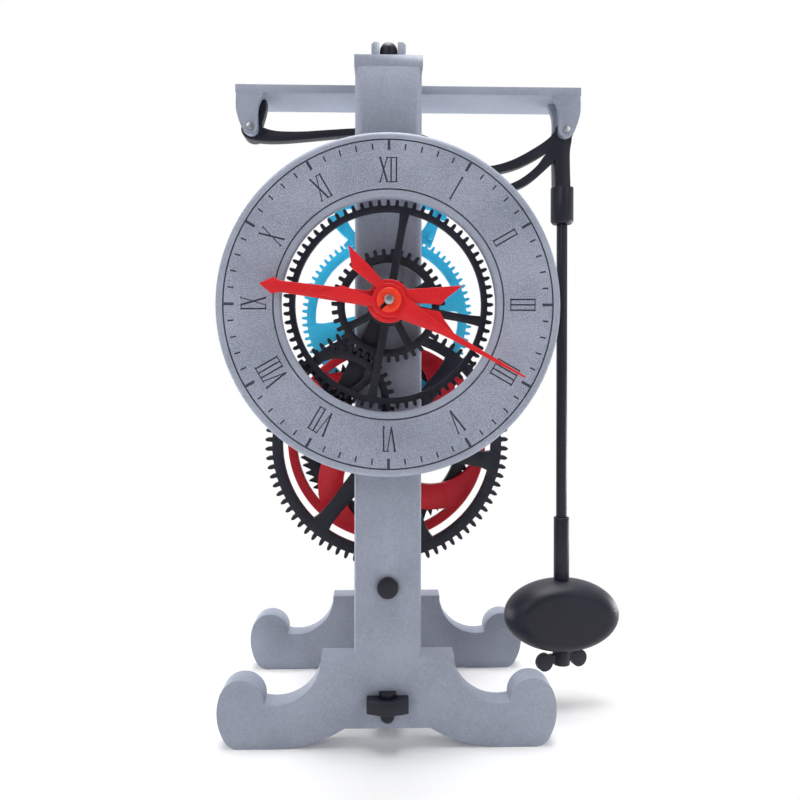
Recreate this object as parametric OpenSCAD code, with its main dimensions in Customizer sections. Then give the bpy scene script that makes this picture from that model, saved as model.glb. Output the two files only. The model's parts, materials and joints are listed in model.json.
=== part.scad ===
// Geared teaching clock: a pendulum clock with a Galileo type escapement, open to view.
// Millimetres. +X to the right of the dial, +Y from the dial to the back, +Z up.
// The origin is on the floor, at the middle of the stand.
// Depths along Y are counted from the front face of the front frame: dial side negative.

/* [Stand] */
// Thickness of the two frames
frame_t = 9; // [7:0.5:11]
// Clear distance between the two frames
frame_gap = 61; // [60.5:0.5:66]
// Width of the pillars
pillar_w = 24.5; // [22:0.5:28]
// Height of the pillars, where the top bar rests
pillar_h = 249.6; // [248:0.5:258]
// Radius of the pillars' upright edges
pillar_edge_r = 1.4; // [0.8:0.1:2]
// Half width of the step that carries the pillar
step_half_w = 24.4; // [20:0.2:24.6]
// Height of that step
step_h = 33.4; // [30:0.2:38]
// Distance of the scroll lobes from the middle
lobe_x = 53.5; // [52:0.5:58]
// Height of the scroll lobes' centres
lobe_z = 17; // [16:0.5:18]
// Radius of the scroll lobes
lobe_r = 8.2; // [7:0.1:9]
// Radius of the hollow between lobe and step
scoop_r = 17; // [16:0.2:17.2]
// Height of the arch under each frame
arch_h = 7.3; // [5:0.1:9]
// Half width of the flat top of the arch
arch_half_w = 15.7; // [12:0.1:18]

/* [Stretcher and posts] */
// Height of the lower stretcher's middle
low_stretcher_z = 16.9; // [15:0.1:20]
// Width of the lower stretcher
low_stretcher_w = 15.2; // [12:0.2:18]
// Height of the lower stretcher's section
low_stretcher_h = 4.9; // [4:0.1:6]
// How far its tenons stand out of the frames
tenon_out = 6; // [5:0.5:8]
// Width of the half round tusk pins near their lower ends
tusk_w = 5.2; // [4:0.1:6]
// Height of the two lower posts, the rim post in front and the click's post behind
lower_post_z = 58.8; // [58:0.1:59]
// Radius of the rim post behind the front frame
rim_post_r = 4.2; // [3.8:0.1:4.6]
// Radius of the two posts' spigots, which pass through the frames
lower_spigot_r = 3; // [2.5:0.1:3.2]
// Radius of the caps on the spigots
post_cap_r = 3.8; // [3.6:0.1:5]

/* [Top bar] */
// Depth of the bar's front edge behind the front face
bar_d = 26; // [24:0.5:26.5]
// Depth of the bar from front to back
bar_depth = 23.4; // [20:0.2:26]
// Left end of the bar
bar_left = 61; // [60.8:0.2:66]
// Right end of the bar
bar_right = 78; // [77:0.2:82]
// Thickness of the bar
bar_t = 3.2; // [2.6:0.1:4.4]
// How far the bar's underside lies below the spine's
bar_drop = 0.6; // [0:0.1:1]
// Thickness of the spine that lies on both pillars
spine_t = 4.3; // [4:0.1:6]
// Width of the spine
spine_w = 25.2; // [25:0.2:30]
// Thickness of the ears that hold the lever pins
ear_t = 3.2; // [2.6:0.1:3.4]
// Clear gap between a pair of ears
ear_gap = 7.8; // [7.4:0.1:8.2]
// Height of the two lever pins
pin_z = 235.5; // [235:0.1:237]
// Distance of the detent's pin left of the middle
detent_x = 55; // [54:0.2:56]
// Distance of the pendulum's pin right of the middle
pendulum_x = 72; // [71:0.2:73]
// Height of the round lower end of the ears below their pins
ear_end_r = 3.4; // [3:0.1:4.6]

/* [Train] */
// Height of the centre arbor, which carries the hands
centre_z = 161.5; // [161:0.1:162.5]
// Module of the great wheel and the centre pinion
great_module = 1.25; // [1.24:0.005:1.26]
// Teeth of the great wheel
great_teeth = 80; // [80]
// Leaves of the centre pinion
centre_leaves = 8; // [8]
// Module of the centre wheel and the escape pinion
centre_module = 1; // [0.99:0.005:1.01]
// Teeth of the centre wheel
centre_teeth = 75; // [75]
// Leaves of the idler, which lets the escape wheel turn the same way as the hands
idler_leaves = 10; // [10]
// Leaves of the escape pinion
escape_leaves = 10; // [10]
// Distance of the escape arbor above the centre arbor
escape_rise = 45.6; // [45:0.1:46]
// Radius of the steel rods that are the centre and escape arbors
arbor_r = 1.5; // [1.3:0.05:1.6]
// Radius of the great arbor
great_arbor_r = 3; // [2.6:0.1:3.2]
// Face width of the train's wheels
wheel_t = 4; // [3.4:0.1:4.2]
// Depth of the great wheel's front face
great_d = 41.5; // [41.2:0.1:41.8]
// Depth of the centre wheel's front face
centre_d = 64.5; // [64.2:0.1:64.8]

/* [Drive] */
// Outer radius of the mainspring's drum
drum_r = 14; // [13.4:0.1:15]
// Wall of the drum
drum_wall = 1.4; // [1:0.1:1.6]
// Length of the drum
drum_t = 7.5; // [6.5:0.1:8]
// Thickness of the mainspring's strip
spring_t = 0.5; // [0.4:0.05:0.6]
// Turns of the mainspring
spring_turns = 6; // [4:1:6]
// Outer radius of the winding wheel
winding_r = 43.4; // [42.5:0.1:44]
// Width of the winding wheel's rim
winding_rim = 3.8; // [3:0.1:4.4]
// Tip radius of the ratchet wheel
ratchet_r = 39; // [38.4:0.1:40]
// Teeth of the ratchet wheel
ratchet_teeth = 66; // [60:1:72]
// Face width of the ratchet wheel
ratchet_t = 3.5; // [3:0.1:4]

/* [Escapement] */
// Tip radius of the escape wheel
escape_r = 25.4; // [25:0.1:25.6]
// Teeth of the escape wheel, each with one pin
escape_teeth = 12; // [12]
// Depth of the escape wheel's front face
escape_d = 35; // [34.9:0.1:35.5]
// Thickness of the escape wheel
escape_t = 3.5; // [3:0.1:4]
// Radius of the circle that the pins stand on
pin_circle_r = 22.6; // [22:0.1:22.8]
// Radius of the pins
pin_r = 1.2; // [1:0.05:1.3]
// Thickness of the detent and of the pendulum's two arms
lever_t = 4.5; // [4:0.1:4.6]
// Radius of the levers' steel pins
lever_pin_r = 1.5; // [1.3:0.05:1.6]
// Gap of the detent's nose to the tip circle of the wheel
lock_gap = 0.25; // [0.2:0.05:0.5]

/* [Pendulum] */
// Width of the pendulum's head below its pin
head_w = 6.3; // [6:0.1:8.8]
// Height of the upper edge of the collar under the head
collar_top_z = 213.1; // [212:0.1:214]
// Height of the lower edge of that collar
collar_bottom_z = 198.3; // [196:0.1:200]
// Radius of the collar
collar_r = 4.65; // [4.5:0.05:5.4]
// Radius of the pendulum's rod
rod_r = 2.2; // [2:0.05:2.4]
// Height of the bob's middle
bob_z = 37.3; // [37:0.1:40]
// Width of the bob
bob_w = 47.8; // [44:0.2:50]
// Height of the bob
bob_h = 29.2; // [28:0.1:32]
// Depth of the bob
bob_depth = 18; // [16:0.2:19]
// Length of the sleeve above the bob
sleeve_top_z = 77.4; // [74:0.1:82]
// Turn of the bob about its rod, left side forward
bob_turn = 5; // [-10:1:10]
// Radius of that sleeve
sleeve_r = 3.15; // [3:0.05:3.6]
// Height of the rating nut's wings
nut_z = 18.5; // [18.2:0.1:19.2]
// Radius of the round wings
nut_wing_r = 3.5; // [3.2:0.1:4]
// Turn of the nut about the rod, left wing forward
nut_turn = 18; // [-90:1:90]

/* [Motion work] */
// Module of the four wheels behind the dial
motion_module = 1; // [0.99:0.005:1.01]
// Teeth of the cannon wheel and of the minute wheel
cannon_teeth = 39; // [39]
// Leaves of the minute pinion
minute_leaves = 6; // [6]
// Teeth of the hour wheel
hour_teeth = 72; // [72]
// Angle of the minute arbor to the left of straight down
minute_angle = 27.3; // [25:0.1:30]
// Face width of the wheels behind the dial
motion_t = 3; // [2.6:0.1:3.2]
// Radius of the post that the minute wheel turns on
minute_post_r = 1; // [0.9:0.05:1.05]
// Outer radius of the cannon wheel's pipe
cannon_pipe_r = 3.4; // [3.2:0.05:3.5]
// Outer radius of the hour wheel's pipe
hour_pipe_r = 4.6; // [4.4:0.05:5]

/* [Dial and hands] */
// Outer radius of the dial ring
dial_r = 58.3; // [56:0.1:58.8]
// Radius of the opening in the dial
dial_open_r = 36.4; // [36:0.1:37.6]
// How far the dial's middle lies below the centre arbor
dial_drop = 0.7; // [0:0.1:1.2]
// Thickness of the dial
dial_t = 4; // [3:0.1:5]
// Depth of the dial's back in front of the frame
dial_back_d = 18; // [17.5:0.1:19]
// Radius of the posts that carry the dial
dial_post_r = 2.5; // [2:0.1:3]
// Thickness of each hand
hand_t = 2; // [1.6:0.1:2.2]
// Length of the minute hand from the arbor to its tip
minute_hand_l = 51; // [46:0.5:52]
// Length of the hour hand from the arbor to its tip
hour_hand_l = 43; // [38:0.5:46]
// Direction of the minute hand, from three o'clock, anticlockwise
minute_hand_a = -29.2; // [-180:0.1:180]
// Direction of the hour hand, from three o'clock, anticlockwise
hour_hand_a = 172.4; // [-180:0.1:180]

/* [Fits] */
// Radial clearance of a shaft that turns in a bore
run = 0.05; // [0.03:0.01:0.08]
// Radial clearance of a shaft that is fixed in a bore
snug = 0.01; // [0.005:0.005:0.02]
// Gap along the arbors between faces that turn past each other
side = 0.2; // [0.1:0.05:0.25]

/* [Hidden] */
$fn = 64;
eps = 0.01;

stand_depth = 2 * frame_t + frame_gap;
front_y = -stand_depth / 2;
rear_d = frame_t + frame_gap;
foot_side_r = 20;
foot_side_x = lobe_x - 11.2;
foot_side_z = lobe_z - 3.7;
heel_r = 5.6;
heel_x = lobe_x + 1;
foot_end_x = foot_side_x + foot_side_r;
scoop_x = step_half_w + scoop_r;
scoop_z = step_h - 0.4;
belly_r = (pow(41 - arch_half_w, 2) + pow(arch_h, 2)) / (2 * arch_h);

great_a = (great_teeth + centre_leaves) / 2 * great_module;
idler_a = (centre_teeth + idler_leaves) / 2 * centre_module;
idler_b = (idler_leaves + escape_leaves) / 2 * centre_module;
great_z = centre_z - great_a;
escape_z = centre_z + escape_rise;
idler_lean = acos((pow(idler_a, 2) + pow(escape_rise, 2) - pow(idler_b, 2)) / (2 * idler_a * escape_rise));
idler_x = idler_a * sin(idler_lean);
idler_z = centre_z + idler_a * cos(idler_lean);
dial_z = centre_z - dial_drop;
minute_dist = cannon_teeth * motion_module;
minute_x = -minute_dist * sin(minute_angle);
minute_z = centre_z - minute_dist * cos(minute_angle);

lever_d = bar_d + ear_t + side;
lever_hub_t = ear_gap - 2 * side;
lever_arm_d = lever_d + 0.6;
drum_d = great_d + wheel_t;
winding_d = drum_d + drum_t + 1;
ratchet_d = winding_d + wheel_t;
ratchet_end_d = ratchet_d + ratchet_t;

arm_t = 3;
motion_d = -arm_t - 1 - motion_t;
hour_wheel_d = motion_d - 1.5 - motion_t;
dial_d = -dial_back_d - dial_t;
hour_hand_d = dial_d - 3.5 - hand_t;
minute_hand_d = hour_hand_d - 1 - hand_t;
clip_t = 2;
clip_d = minute_hand_d - clip_t;
arbor_end_d = clip_d - 1.6;
post_points = [[-7.5, 48.5], [7.5, 48.5], [7.5, -49]];
post_spigot_r = 1.5;
post_spigot_l = 4;
screw_r = 1.5;

// ---------------------------------------------------------------- helpers

// A flat shape drawn in X and Z, with thickness t, its front face at depth d
module slab(d, t) {
    translate([0, front_y + d + t, 0]) rotate([90, 0, 0]) linear_extrude(t) children();
}

// A round bar along Y at (x, z) from depth d0 to depth d1
module bar(x, z, r, d0, d1) {
    slab(d0, d1 - d0) translate([x, z]) circle(r);
}

// Points of a tooth outline. The flanks are radial below the pitch circle, and epicycloids
// of a circle with radius roll above it, which suits a wheel that drives a small pinion.
function epicycloid(r, roll, t) =
    [(r + roll) * cos(t) - roll * cos((r + roll) / roll * t),
     (r + roll) * sin(t) - roll * sin((r + roll) / roll * t)];
function roll_angle(r, roll, out_r) =
    acos((pow(r + roll, 2) + pow(roll, 2) - pow(out_r, 2)) / (2 * roll * (r + roll))) * roll / r;
function polar(r, a) = [r * cos(a), r * sin(a)];
function turned(p, a) = [p[0] * cos(a) - p[1] * sin(a), p[0] * sin(a) + p[1] * cos(a)];

// One side of a tooth, from root to tip, for a tooth whose middle is at angle 0
function flank(r, root_r, tip_r, roll, half) = concat(
    [polar(root_r, -half - 12 / r), polar(root_r + (r - root_r) * 0.35, -half)],
    [for (s = [0, 0.6, 1]) turned(epicycloid(r, roll, roll_angle(r, roll, tip_r) * s), -half)]);

// A toothed disc: n teeth of module m, add and ded are the heights above and below the pitch
// circle in modules, fill is the tooth's share of the pitch
module toothed_disc(n, m, roll, add, ded, fill) {
    r = n * m / 2;
    half = 180 / n * fill;
    side_points = flank(r, r - ded * m, r + add * m, roll, half);
    last = len(side_points) - 1;
    polygon([for (i = [0 : n - 1], k = [0 : 2 * last + 1])
        let (p = k <= last ? side_points[k] : side_points[2 * last + 1 - k],
             q = k <= last ? p : [p[0], -p[1]])
        turned(q, i * 360 / n)]);
}

// An outline that is the same on both sides of the X axis; points give its upper side
module mirrored(points) {
    polygon(concat(points, [for (i = [len(points) - 1 : -1 : 0]) if (points[i][1] > 0)
        [points[i][0], -points[i][1]]]));
}

// Points on a smooth line through p, with n steps between each two
function smooth(p, n) = concat([for (i = [0 : len(p) - 2], s = [0 : n - 1])
    let (t = s / n, a = p[max(i - 1, 0)], b = p[i], c = p[i + 1], d = p[min(i + 2, len(p) - 1)])
    b + ((c - a) * t + (2 * a - 5 * b + 4 * c - d) * t * t + (3 * b - a - 3 * c + d) * pow(t, 3)) / 2],
    [p[len(p) - 1]]);

// Windows between n spokes: a ring from hub_r to rim_r less the spokes, whose half width runs
// from w0 at the hub to w1 at the rim and flares out by flare where they join the rim
module windows(hub_r, rim_r, n, w0, w1, flare, a0) {
    steps = [0, 0.35, 0.65, 0.8, 0.9, 1];
    reach = rim_r + 0.6 - hub_r;
    half = [for (s = steps) [hub_r - 0.3 + (reach + 0.3) * s, w0 + (w1 - w0) * s + flare * pow(s, 8)]];
    difference() {
        circle(rim_r);
        circle(hub_r);
        for (i = [0 : n - 1]) rotate(a0 + i * 360 / n) mirrored(half);
    }
}

// A disc with saw teeth whose steep faces look anticlockwise when lean is 1
module saw_disc(n, root_r, tip_r, lean) {
    step = 360 / n;
    polygon([for (i = [0 : n - 1])
        for (p = [[root_r, 0], [root_r + (tip_r - root_r) * 0.25, 0.3], [tip_r, 0.9],
                  [tip_r, 0.97]])
            polar(p[0], lean * (i + p[1]) * step)]);
}

module centre_at(z) {
    translate([0, z]) children();
}

// ---------------------------------------------------------------- stand

// Right half of a foot: scroll lobe, heel, hollow and arch
module foot_half() {
    difference() {
        union() {
            square([scoop_x, step_h]);
            square([heel_x, lobe_z]);
            translate([heel_x, heel_r]) circle(heel_r);
            intersection() {
                translate([foot_side_x, foot_side_z]) circle(foot_side_r, $fn = 128);
                polygon([[foot_side_x, foot_side_z],
                         [foot_side_x, foot_side_z] + polar(40, -32.3),
                         [foot_side_x, foot_side_z] + polar(40, 18.3)]);
            }
        }
        translate([scoop_x, scoop_z]) circle(scoop_r, $fn = 128);
        difference() {
            translate([-1, -1]) square([42, arch_h + 1]);
            translate([41, belly_r]) circle(belly_r, $fn = 256);
            translate([arch_half_w, arch_h]) square([30, 5]);
        }
    }
    translate([lobe_x, lobe_z]) circle(lobe_r);
}

// Holes that both frames share
module shared_bores(d) {
    bar(0, great_z, great_arbor_r + run, d - 1, d + frame_t + 1);
    bar(0, centre_z, arbor_r + run, d - 1, d + frame_t + 1);
    bar(0, escape_z, arbor_r + run, d - 1, d + frame_t + 1);
    bar(0, lower_post_z, lower_spigot_r + snug, d - 1, d + frame_t + 1);
    slab(d - 1, frame_t + 2) translate([0, low_stretcher_z])
        square([low_stretcher_w + 2 * snug, low_stretcher_h + 2 * snug], center = true);
    translate([0, front_y + d + frame_t / 2, pillar_h - 10]) cylinder(r = screw_r + snug, h = 20);
}

module frame(d) {
    slab(d, frame_t) {
        foot_half();
        mirror([1, 0]) foot_half();
    }
    half = pillar_w / 2;
    translate([0, front_y + d, step_h - 8]) linear_extrude(pillar_h - step_h + 8) {
        translate([-half, pillar_edge_r]) square([pillar_w, frame_t - 2 * pillar_edge_r]);
        translate([-half + pillar_edge_r, 0]) square([pillar_w - 2 * pillar_edge_r, frame_t]);
        for (x = [-1, 1], y = [pillar_edge_r, frame_t - pillar_edge_r])
            translate([x * (half - pillar_edge_r), y]) circle(pillar_edge_r);
    }
}

module front_frame() {
    color([0.62, 0.65, 0.71]) difference() {
        frame(0);
        shared_bores(0);
        for (p = post_points) bar(p[0], dial_z + p[1], post_spigot_r + snug, -1, post_spigot_l + 0.2);
        for (p = arm_pegs) bar(p[0], p[1], arm_peg_r + snug, -1, arm_peg_l + 0.2);
    }
}

module rear_frame() {
    color([0.62, 0.65, 0.71]) difference() {
        frame(rear_d);
        shared_bores(rear_d);
        bar(idler_x, idler_z, idler_pin_r + snug, rear_d - 1, rear_d + idler_pin_l + 0.2);
    }
}

// Outline of an ear on the detent's side, around its pin; the pendulum's ears are its mirror
ear_rise = pillar_h - bar_drop - pin_z;
module ear_outline() {
    polygon(smooth([[-5.7, ear_rise + 0.5], [-5.8, 7.5], [-4.8, 3], [-4, 0.8], [-2.7, -2], [0, -ear_end_r],
                    [2.4, -2.4], [2.9, -0.4], [2.8, 4], [3, 8], [3.9, ear_rise - 2.6], [5.2, ear_rise + 0.5]], 4));
}

module ears(x, flip) {
    for (d = [bar_d, bar_d + ear_t + ear_gap]) difference() {
        slab(d, ear_t) translate([x, pin_z]) mirror([flip, 0]) ear_outline();
        bar(x, pin_z, lever_pin_r + snug, d - 1, d + ear_t + 1);
    }
}

cheek_w = 12.6;
cheek_h = 5;
cheek_t = 7;
dome_r = 3.3;
module top_bar() {
    color([0.62, 0.65, 0.71]) {
        difference() {
            union() {
                translate([-spine_w / 2, front_y, pillar_h]) cube([spine_w, stand_depth, spine_t]);
                translate([-bar_left, front_y + bar_d, pillar_h - bar_drop])
                    cube([bar_left + bar_right, bar_depth, bar_t]);
                for (d = [0, rear_d]) slab(d + (frame_t - cheek_t) / 2, cheek_t)
                    translate([0, pillar_h + spine_t]) polygon([
                        [-cheek_w / 2, -1], [-cheek_w / 2, cheek_h - 0.9], [-cheek_w / 2 + 0.9, cheek_h],
                        [cheek_w / 2 - 0.9, cheek_h], [cheek_w / 2, cheek_h - 0.9], [cheek_w / 2, -1]]);
            }
            for (d = [0, rear_d]) {
                translate([-dome_r - 0.1, front_y + d - 1, pillar_h + spine_t])
                    cube([2 * dome_r + 0.2, frame_t + 2, 20]);
                translate([0, front_y + d + frame_t / 2, pillar_h - 1])
                    cylinder(r = screw_r + snug, h = 20);
            }
        }
        ears(-detent_x, 0);
        ears(pendulum_x, 1);
    }
}

module top_screws() {
    color([0.13, 0.13, 0.15]) for (d = [0, rear_d])
        translate([0, front_y + d + frame_t / 2, pillar_h + spine_t]) {
            rotate_extrude() {
                difference() {
                    translate([0, 2.9]) circle(dome_r);
                    translate([-10, -10]) square([10, 30]);
                    translate([-10, -10]) square([30, 10]);
                }
                square([dome_r, 2.9]);
            }
            translate([0, 0, -spine_t - 9.5]) cylinder(r = screw_r, h = spine_t + 9.6);
        }
}

// The tenons end in a shallow arc
tenon_bow = 1.8;
tenon_r = (pow(low_stretcher_w / 2, 2) + pow(tenon_bow, 2)) / (2 * tenon_bow);
module lower_stretcher() {
    reach = stand_depth / 2 + tenon_out;
    color([0.13, 0.13, 0.15]) difference() {
        translate([0, 0, low_stretcher_z - low_stretcher_h / 2]) linear_extrude(low_stretcher_h) {
            square([low_stretcher_w, 2 * (reach - tenon_bow)], center = true);
            for (s = [-1, 1]) intersection() {
                translate([0, s * (reach - tenon_r)]) circle(tenon_r, $fn = 128);
                translate([-low_stretcher_w / 2, s > 0 ? 10 : -10 - reach]) square([low_stretcher_w, reach]);
            }
        }
        for (s = [-1, 1]) tusk(s, snug);
    }
}

// Tusk pins through the tenons hold the frames together at the foot: half round, tapered down
// to a round tip, with the flat side against the frame
tusk_head_r = tusk_w / 2 + 0.5;
tusk_bottom_z = 9.3;
tusk_top_z = 21;
tusk_gap = 0.1;
module tusk(s, wider) {
    r = tusk_w / 2 + wider;
    flat_y = stand_depth / 2 + tusk_gap - wider;
    intersection() {
        translate([0, s * flat_y, tusk_bottom_z]) rotate_extrude() {
            polygon([[0, tusk_w / 2], [r, tusk_w / 2], [tusk_head_r + wider, tusk_top_z - tusk_bottom_z],
                     [0, tusk_top_z - tusk_bottom_z]]);
            intersection() {
                translate([0, tusk_w / 2]) circle(r);
                translate([0, -wider]) square([r, tusk_w / 2 + wider]);
            }
        }
        translate([-10, s > 0 ? flat_y : -flat_y - 10, 0]) cube([20, 10, 30]);
    }
}

module tusk_pins() {
    color([0.13, 0.13, 0.15]) for (s = [-1, 1]) tusk(s, 0);
}

// The rim post ends just in front of the great wheel and keeps its rim from leaning forward
module rim_post() {
    color([0.13, 0.13, 0.15]) {
        bar(0, lower_post_z, rim_post_r, frame_t, great_d - side);
        bar(0, lower_post_z, lower_spigot_r, -0.6, frame_t + 1);
    }
}

// The click turns on this post, between its head and the rear frame
click_head_r = lower_spigot_r + 0.8;
module click_post() {
    color([0.13, 0.13, 0.15]) {
        bar(0, lower_post_z, click_head_r, ratchet_d - side - 2, ratchet_d - side);
        bar(0, lower_post_z, lower_spigot_r, ratchet_d - side - 1, stand_depth + 0.6);
    }
}

module post_caps() {
    color([0.13, 0.13, 0.15]) for (d = [-1.4, stand_depth]) difference() {
        bar(0, lower_post_z, post_cap_r, d, d + 1.4);
        bar(0, lower_post_z, lower_spigot_r + snug,
            d < 0 ? d + 0.8 : d - 1, d < 0 ? d + 3 : d + 0.6);
    }
}

// ---------------------------------------------------------------- dial and motion work

// The ring has a rounded outer rim, a raised inner bezel and one engraved line beside each
groove_w = 0.5;
groove_depth = 0.5;
module dial() {
    rim_round = 1.6;
    color([0.62, 0.65, 0.71])
    translate([0, front_y - dial_back_d, dial_z]) rotate([90, 0, 0])
    rotate_extrude($fn = 180) difference() {
        union() {
            translate([dial_open_r, 0]) square([dial_r - dial_open_r - rim_round, dial_t]);
            translate([dial_r - rim_round - 1, 0]) square([rim_round + 1, dial_t - rim_round]);
            translate([dial_r - rim_round, dial_t - rim_round]) circle(rim_round);
        }
        for (r = [dial_open_r + 2.4, dial_r - 2.8])
            translate([r - groove_w / 2, dial_t - groove_depth]) square([groove_w, 2]);
    }
}

module dial_posts() {
    color([0.13, 0.13, 0.15]) for (p = post_points) {
        bar(p[0], dial_z + p[1], dial_post_r, -dial_back_d, 0);
        bar(p[0], dial_z + p[1], post_spigot_r, -1, post_spigot_l);
    }
}

// Flat arm on the front frame that reaches out to the minute arbor
arm_w = 6.8;
arm_peg_r = 1.5;
arm_peg_l = 4;
arm_pegs = [for (s = [-9, 9]) [s * sin(minute_angle), centre_z + s * cos(minute_angle)]];
module minute_arm() {
    color([0.13, 0.13, 0.15]) {
        difference() {
            slab(-arm_t, arm_t) {
                centre_at(centre_z) circle(6.5);
                translate([minute_x, minute_z]) circle(4.4);
                centre_at(centre_z) rotate(-90 - minute_angle)
                    translate([-13, -arm_w / 2]) square([13 + minute_dist, arm_w]);
            }
            bar(0, centre_z, arbor_r + 0.5, -arm_t - 1, 1);
            bar(minute_x, minute_z, minute_post_r + snug, -arm_t - 1, 1);
        }
        for (p = arm_pegs) bar(p[0], p[1], arm_peg_r, -1, arm_peg_l);
    }
}

module minute_post() {
    color([0.75, 0.75, 0.78]) bar(minute_x, minute_z, minute_post_r, -dial_back_d + 0.2, 0);
}

// The cannon wheel sits on the centre arbor, and its pipe carries the minute hand
cannon_roll = cannon_teeth * motion_module / 4;
module cannon_wheel() {
    color([0.13, 0.13, 0.15]) difference() {
        union() {
            slab(motion_d, motion_t) centre_at(centre_z) difference() {
                rotate(cannon_phase) toothed_disc(cannon_teeth, motion_module, cannon_roll, 0.85, 1.25, 0.46);
                windows(6, 15.6, 4, 1.3, 1.2, 0.7, 28);
            }
            bar(0, centre_z, cannon_pipe_r, minute_hand_d, motion_d + motion_t);
            bar(0, centre_z, 5.5, motion_d, motion_d + motion_t);
            bar(0, centre_z, cannon_pipe_r, motion_d, -arm_t - side);
        }
        bar(0, centre_z, arbor_r + snug, minute_hand_d - 1, 1);
    }
}

module minute_wheel() {
    color([0.13, 0.13, 0.15]) difference() {
        slab(motion_d, motion_t) translate([minute_x, minute_z]) difference() {
            rotate(minute_phase) toothed_disc(cannon_teeth, motion_module, cannon_roll, 0.85, 1.25, 0.46);
            windows(5, 15.6, 4, 1.4, 1.3, 0.7, 37);
        }
        bar(minute_x, minute_z, minute_post_r + run, motion_d - 1, 0);
    }
}

module minute_pinion() {
    color([0.13, 0.13, 0.15]) difference() {
        slab(hour_wheel_d - 0.5, motion_d - hour_wheel_d + 0.5) translate([minute_x, minute_z])
            rotate(minute_pinion_phase)
            toothed_disc(minute_leaves, motion_module, 0.75 * motion_module, 0.62, 1.2, 0.42);
        bar(minute_x, minute_z, minute_post_r + run, hour_wheel_d - 2, motion_d + 1);
    }
}

module hour_wheel() {
    color([0.13, 0.13, 0.15]) difference() {
        union() {
            slab(hour_wheel_d, motion_t) centre_at(centre_z) difference() {
                rotate(hour_phase) toothed_disc(hour_teeth, motion_module,
                    minute_leaves * motion_module / 4, 0.85, 1.2, 0.42);
                windows(7.5, 32.8, 4, 1.4, 1.3, 0.6, -10);
            }
            bar(0, centre_z, 7.5, hour_wheel_d, hour_wheel_d + motion_t);
            bar(0, centre_z, hour_pipe_r, hour_hand_d, hour_wheel_d + 1);
        }
        bar(0, centre_z, cannon_pipe_r + run, hour_hand_d - 1, 0);
    }
}

// ---------------------------------------------------------------- hands

module minute_hand() {
    k = minute_hand_l / 51;
    color([0.84, 0.13, 0.16]) difference() {
        slab(minute_hand_d, hand_t) centre_at(centre_z) rotate(minute_hand_a) {
            circle(5.6);
            mirrored([[-1, 5], [6.9, 3.4], [14.8, 2.15], [20, 1.35], [23.6, 1.05], [51 * k, 0.25]]);
            mirrored([[1, 5.4], [-3.8, 4.15], [-10.9, 6.7], [-20.3, 9.25], [-15.7, 3.25],
                [-5.5, 1.6], [-4.5, 0]]);
        }
        bar(0, centre_z, cannon_pipe_r + snug, minute_hand_d - 1, minute_hand_d + hand_t + 1);
    }
}

module hour_hand() {
    k = hour_hand_l / 43;
    color([0.84, 0.13, 0.16]) difference() {
        slab(hour_hand_d, hand_t) centre_at(centre_z) rotate(hour_hand_a) {
            circle(7.2);
            mirrored([[-1, 3.5], [8, 2.5], [36.2 * k, 1.85], [38.6 * k, 2.75], [43 * k, 0]]);
            mirrored([[1, 5.4], [-5.7, 4.7], [-23.5, 8.4], [-18.9, 3.6], [-17.2, 1.2],
                [-8, 0.6], [-6, 0]]);
        }
        bar(0, centre_z, hour_pipe_r + snug, hour_hand_d - 1, hour_hand_d + hand_t + 1);
    }
}

// Open ring that snaps on the arbor's end and keeps the minute hand on
module hand_clip() {
    color([0.96, 0.26, 0.13]) slab(clip_d, clip_t) centre_at(centre_z) difference() {
        circle(4);
        circle(arbor_r + snug);
        rotate(-135) translate([0, -0.6]) square([6, 1.2]);
    }
}

// ---------------------------------------------------------------- centre arbor

module centre_arbor() {
    color([0.75, 0.75, 0.78]) bar(0, centre_z, arbor_r, arbor_end_d, stand_depth + 0.8);
}

pinion_d = great_d - 1;
pinion_t = wheel_t + 2;
centre_sleeve_r = 3.1;
module centre_pinion() {
    color([0.13, 0.13, 0.15]) difference() {
        union() {
            slab(pinion_d, pinion_t) centre_at(centre_z) rotate(centre_pinion_phase)
                toothed_disc(centre_leaves, great_module, 0.75 * great_module, 0.66, 1.3, 0.42);
            bar(0, centre_z, centre_sleeve_r, frame_t + side, centre_d);
        }
        bar(0, centre_z, arbor_r + snug, 0, stand_depth);
    }
}

module centre_wheel() {
    color([0.15, 0.78, 0.95]) difference() {
        union() {
            slab(centre_d, wheel_t) centre_at(centre_z) difference() {
                rotate(centre_phase) toothed_disc(centre_teeth, centre_module,
                    idler_leaves * centre_module / 4, 1, 1.25, 0.44);
                windows(9, 32.4, 4, 4.2, 4.2, 2.4, 15);
            }
            bar(0, centre_z, 4.5, centre_d, rear_d - side);
        }
        bar(0, centre_z, arbor_r + snug, centre_d - 1, stand_depth);
    }
}

// ---------------------------------------------------------------- drive

module great_wheel() {
    color([0.13, 0.13, 0.15]) difference() {
        union() {
            slab(great_d, wheel_t) centre_at(great_z) difference() {
                rotate(great_phase) toothed_disc(great_teeth, great_module,
                    centre_leaves * great_module / 4, 1, 1.3, 0.42);
                windows(drum_r, 44.2, 6, 4.1, 2.5, 2, 50.7);
            }
            bar(0, great_z, 6, frame_t + side, great_d + 1);
        }
        bar(0, great_z, great_arbor_r + run, 0, stand_depth);
    }
}

module spring_drum() {
    color([0.13, 0.13, 0.15]) slab(drum_d, drum_t) centre_at(great_z) difference() {
        circle(drum_r);
        circle(drum_r - drum_wall);
    }
}

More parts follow.
